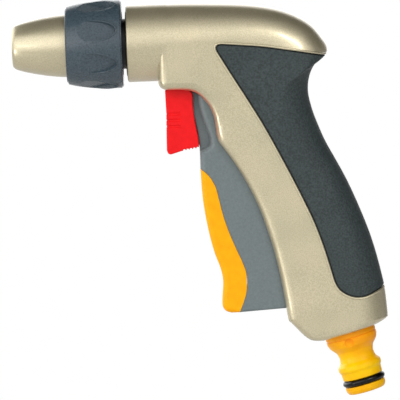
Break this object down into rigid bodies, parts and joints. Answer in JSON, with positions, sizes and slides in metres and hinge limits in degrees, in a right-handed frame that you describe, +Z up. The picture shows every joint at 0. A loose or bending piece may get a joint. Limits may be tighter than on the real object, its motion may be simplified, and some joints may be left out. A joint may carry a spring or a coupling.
{
  "type": "garden hose spray gun",
  "caption": "Pistol-shaped metal garden hose spray gun: front trigger with lock lever, rubber-backed handle, adjustable twist nozzle on a ribbed collar, and quick-connect hose nipple.",
  "frame": {"origin": "centre of the hose nipple's end face, where a hose connector is pushed on", "axes": "+Z up with the barrel level, X along the barrel with the nozzle towards -X, Y across the gun, which is mirror symmetric about Y = 0"},
  "size_m": [0.1409, 0.0338, 0.1557],
  "materials": {
    "champagne_paint": "satin",
    "grip_rubber": "matte",
    "collar_plastic": "satin",
    "trigger_plastic": "satin",
    "pad_rubber": "satin",
    "lock_plastic": "satin",
    "nipple_plastic": "satin",
    "black_plastic": "satin",
    "seal_rubber": "satin",
    "stainless_steel": "satin",
    "brass": "satin"
  },
  "bodies": {
    "gun_body": {"body_shell": "champagne_paint", "grip_overmould": "grip_rubber", "hose_nipple": "nipple_plastic", "nipple_o_ring": "seal_rubber", "nipple_gasket": "seal_rubber", "inlet_tube": "black_plastic", "inlet_tube_seal": "seal_rubber", "valve_housing": "black_plastic", "barrel_tube": "black_plastic", "riser_seal": "seal_rubber", "gland_nut": "brass", "stem_seal": "seal_rubber", "valve_seat": "brass", "valve_spring": "stainless_steel", "valve_cap": "brass", "trigger_pin": "stainless_steel", "lock_pin": "stainless_steel", "spindle_spigot": "black_plastic", "spigot_seal": "seal_rubber", "spray_cone": "black_plastic"},
    "trigger": {"trigger_lever": "trigger_plastic", "trigger_pad": "pad_rubber"},
    "lock": {"lock_lever": "lock_plastic"},
    "valve": {"valve_stem": "brass", "valve_washer": "seal_rubber", "stem_clip": "stainless_steel"},
    "nozzle_guide": {"glide_ring": "black_plastic"},
    "nozzle": {"nozzle_insert": "black_plastic", "nozzle_seal": "seal_rubber", "nozzle_tip": "champagne_paint", "nozzle_collar": "collar_plastic"}
  },
  "joints": [
    {"name": "trigger_pull", "type": "hinge", "parent": "gun_body", "child": "trigger", "pos_m": [-0.0635, 0, 0.124], "axis": [0, -1, 0], "range_deg": [0, 12.5], "stiffness_Nm_per_rad": 2, "springref_deg": -8.59},
    {"name": "valve_slide", "type": "slide", "parent": "gun_body", "child": "valve", "axis": [1, 0, 0], "range_m": [0, 0.0033], "deforming": ["valve_spring"]},
    {"name": "lock_swing", "type": "hinge", "parent": "gun_body", "child": "lock", "pos_m": [-0.0702, 0, 0.1246], "axis": [0, -1, 0], "range_deg": [0, 8]},
    {"name": "nozzle_turn", "type": "hinge", "parent": "gun_body", "child": "nozzle_guide", "pos_m": [-0.094, 0, 0.1372], "axis": [-1, 0, 0], "range_deg": [-72, 288]},
    {"name": "nozzle_advance", "type": "slide", "parent": "nozzle_guide", "child": "nozzle", "axis": [-1, 0, 0], "range_m": [-0.00101, 0.00401]}
  ],
  "couplings": [
    {"joint": "valve_slide", "follows": "trigger_pull", "m_per_rad": 0.01468},
    {"joint": "nozzle_advance", "follows": "nozzle_turn", "m_per_rad": 0.00079577}
  ]
}
